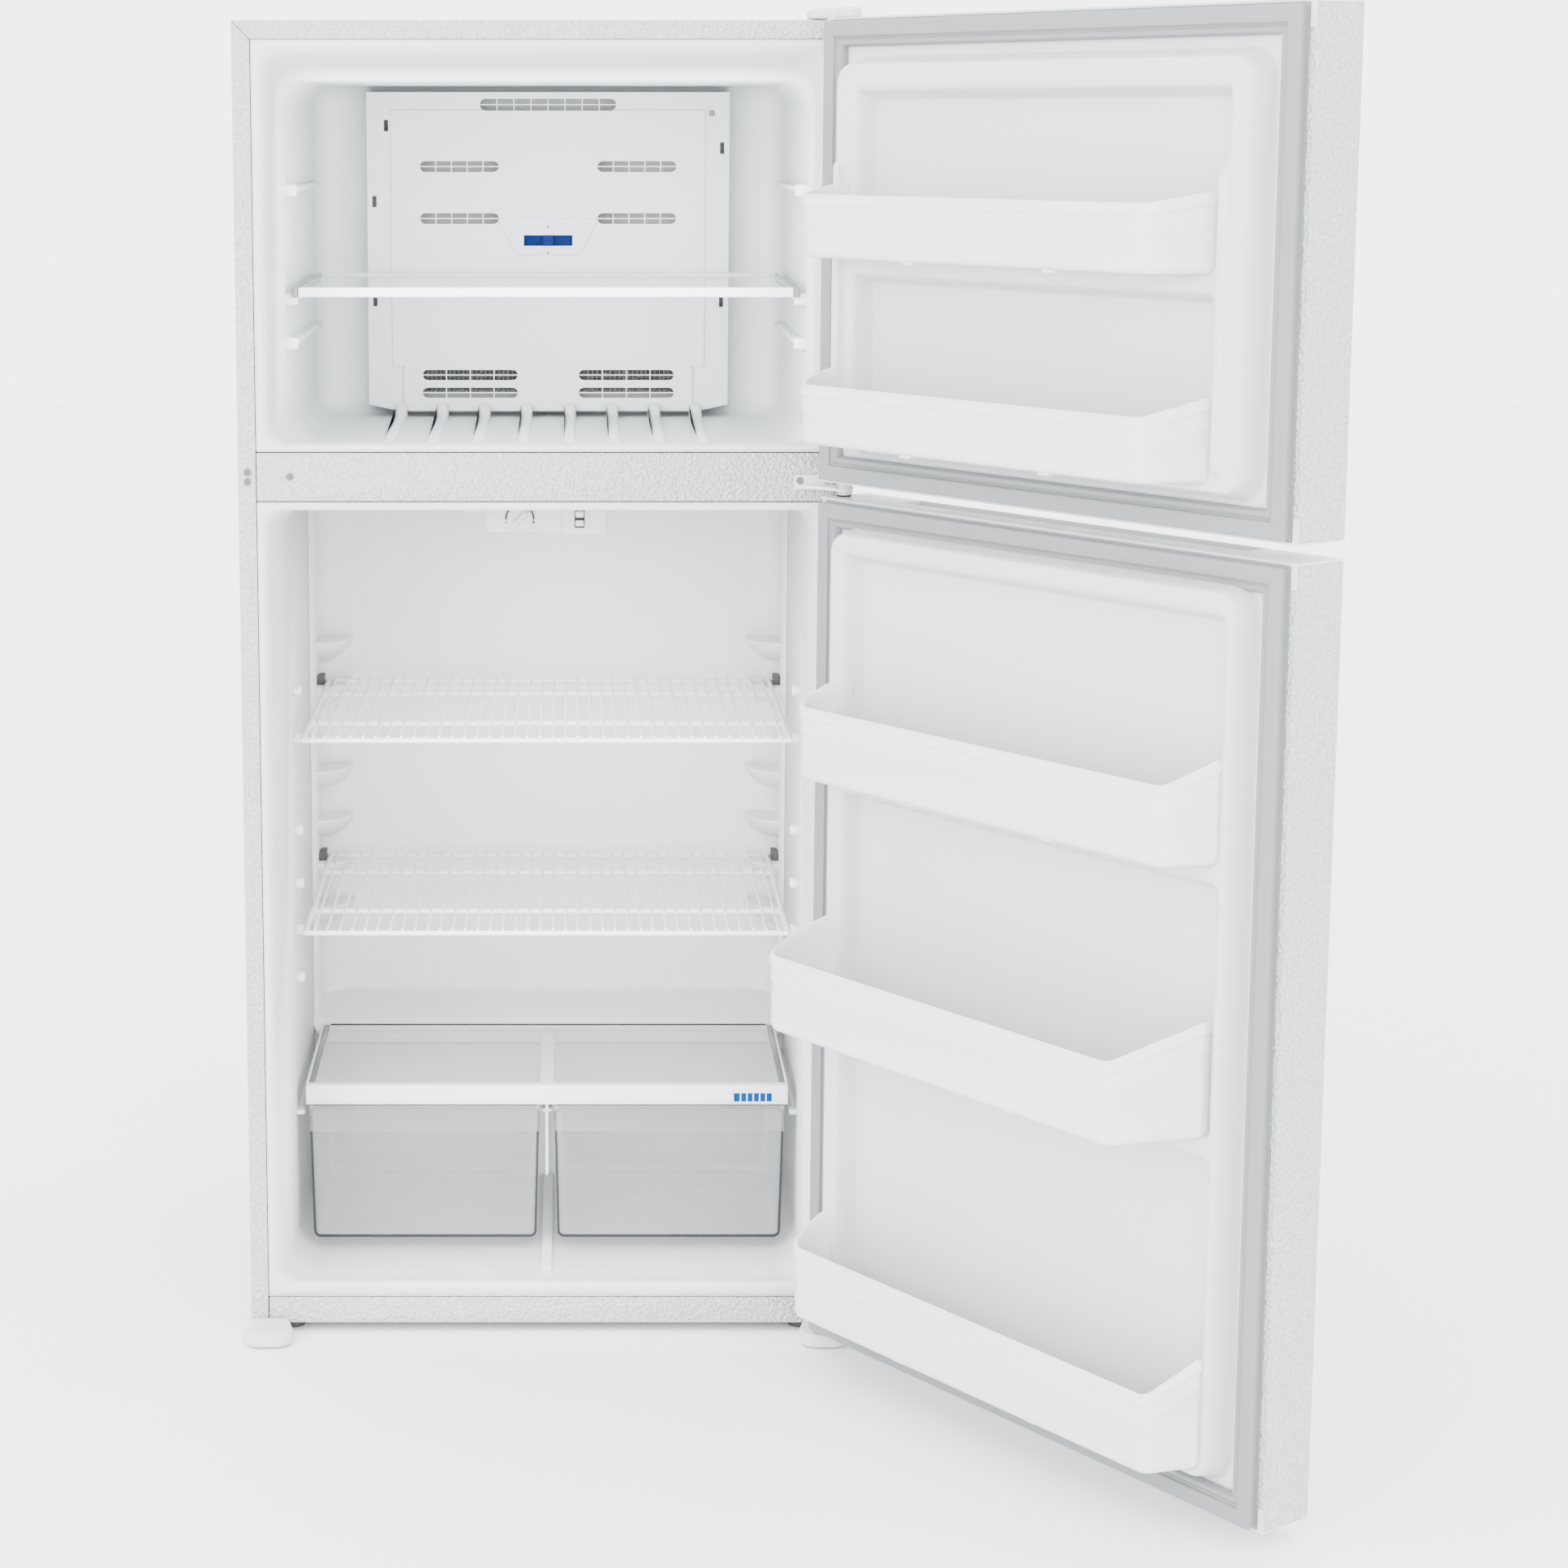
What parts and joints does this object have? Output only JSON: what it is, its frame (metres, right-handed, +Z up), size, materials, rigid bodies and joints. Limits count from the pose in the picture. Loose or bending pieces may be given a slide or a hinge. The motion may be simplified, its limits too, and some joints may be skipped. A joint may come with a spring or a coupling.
{
  "type": "top freezer refrigerator",
  "caption": "Upright refrigerator with a freezer above, two hinged doors standing open, door bins, a glass shelf, wire shelves and clear crisper drawers.",
  "frame": {"origin": "on the floor, midway across the width of the cabinet, in the plane of the cabinet's front flanges", "axes": "+Z up; +X to the right as seen from the front; +Y from the front flanges back into the cabinet"},
  "size_m": [1.2335, 1.3566, 1.68],
  "materials": {
    "textured_white_steel": "satin",
    "liner_plastic": "gloss",
    "white_plastic": "satin",
    "galvanised_steel": "satin",
    "insulating_foam": "matte",
    "gasket_vinyl": "matte",
    "shelf_glass": "gloss",
    "clear_plastic": "gloss",
    "coated_wire": "gloss",
    "aluminium_fins": "satin",
    "black_steel": "satin",
    "dark_plastic": "matte",
    "grey_plastic": "matte",
    "blue_plastic": "satin",
    "dark_rubber": "matte",
    "bulb_glass": "gloss",
    "zinc_steel": "satin"
  },
  "bodies": {
    "cabinet": {"outer_wrapper": "textured_white_steel", "back_panel": "galvanised_steel", "base_pan": "galvanised_steel", "bottom_rail": "textured_white_steel", "mullion_rail": "textured_white_steel", "cabinet_foam": "insulating_foam", "freezer_liner": "liner_plastic", "fridge_liner": "liner_plastic", "evaporator_cover": "liner_plastic", "evaporator_coil": "aluminium_fins", "fan_bracket": "dark_plastic", "defrost_heater": "zinc_steel", "freezer_shelf_glass": "shelf_glass", "freezer_shelf_trim": "white_plastic", "control_housing": "white_plastic", "light_bulb": "bulb_glass", "wire_shelf_upper": "coated_wire", "wire_shelf_lower": "coated_wire", "shelf_clips": "grey_plastic", "crisper_cover_frame": "white_plastic", "crisper_cover_glass": "clear_plastic", "compressor": "black_steel", "compressor_mounts": "dark_rubber", "condenser_coil": "black_steel", "condenser_shroud": "grey_plastic", "drain_pan": "white_plastic", "machine_cover": "grey_plastic", "cord_gland": "dark_plastic", "leveling_feet": "grey_plastic", "roller_brackets": "galvanised_steel", "foot_covers": "white_plastic", "top_hinge": "zinc_steel", "top_hinge_cover": "white_plastic", "center_hinge": "zinc_steel", "bottom_hinge": "zinc_steel", "cabinet_screws": "zinc_steel"},
    "freezer_door": {"freezer_door_panel": "textured_white_steel", "freezer_door_foam": "insulating_foam", "freezer_door_liner": "liner_plastic", "freezer_door_gasket": "gasket_vinyl", "freezer_door_caps": "white_plastic", "freezer_bin_upper": "white_plastic", "freezer_bin_lower": "white_plastic"},
    "fridge_door": {"fridge_door_panel": "textured_white_steel", "fridge_door_foam": "insulating_foam", "fridge_door_liner": "liner_plastic", "fridge_door_gasket": "gasket_vinyl", "fridge_door_caps": "white_plastic", "fridge_bin_upper": "white_plastic", "fridge_bin_middle": "white_plastic", "fridge_bin_lower": "white_plastic"},
    "evaporator_fan": {"evaporator_fan": "dark_plastic"},
    "freezer_slider": {"freezer_slider": "blue_plastic"},
    "temperature_dial": {"temperature_dial": "white_plastic"},
    "light_switch": {"light_switch": "white_plastic"},
    "humidity_slider": {"humidity_slider": "white_plastic"},
    "crisper_left": {"crisper_left": "clear_plastic"},
    "crisper_right": {"crisper_right": "clear_plastic"},
    "condenser_fan": {"condenser_fan": "grey_plastic"},
    "rear_rollers": {"rear_rollers": "grey_plastic"}
  },
  "joints": [
    {"name": "freezer_door_hinge", "type": "hinge", "parent": "cabinet", "child": "freezer_door", "pos_m": [0.367, -0.04, 1.388], "axis": [0, 0, 1], "range_deg": [-126, 10]},
    {"name": "fridge_door_hinge", "type": "hinge", "parent": "cabinet", "child": "fridge_door", "pos_m": [0.367, -0.04, 0.556], "axis": [0, 0, 1], "range_deg": [-126, 10]},
    {"name": "crisper_left_slide", "type": "slide", "parent": "cabinet", "child": "crisper_left", "axis": [0, -1, 0], "range_m": [0, 0.24]},
    {"name": "crisper_right_slide", "type": "slide", "parent": "cabinet", "child": "crisper_right", "axis": [0, -1, 0], "range_m": [0, 0.24]},
    {"name": "humidity_slide", "type": "slide", "parent": "cabinet", "child": "humidity_slider", "axis": [1, 0, 0], "range_m": [0, 0.048]},
    {"name": "freezer_control_slide", "type": "slide", "parent": "cabinet", "child": "freezer_slider", "axis": [1, 0, 0], "range_m": [-0.024, 0.024]},
    {"name": "temperature_dial_turn", "type": "hinge", "parent": "cabinet", "child": "temperature_dial", "pos_m": [-0.034, 0.15, 1.04], "axis": [0, -1, 0], "range_deg": [-100, 60]},
    {"name": "light_switch_rock", "type": "hinge", "parent": "cabinet", "child": "light_switch", "pos_m": [0.043, 0.154, 1.04], "axis": [1, 0, 0], "range_deg": [0, 8], "stiffness_Nm_per_rad": 0.02},
    {"name": "evaporator_fan_spin", "type": "hinge", "parent": "cabinet", "child": "evaporator_fan", "pos_m": [0, 0.603, 1.445], "axis": [0, 1, 0], "continuous": true},
    {"name": "condenser_fan_spin", "type": "hinge", "parent": "cabinet", "child": "condenser_fan", "pos_m": [-0.008, 0.585, 0.13], "axis": [1, 0, 0], "continuous": true},
    {"name": "rear_rollers_roll", "type": "hinge", "parent": "cabinet", "child": "rear_rollers", "pos_m": [0, 0.63, 0.015], "axis": [1, 0, 0], "continuous": true}
  ]
}
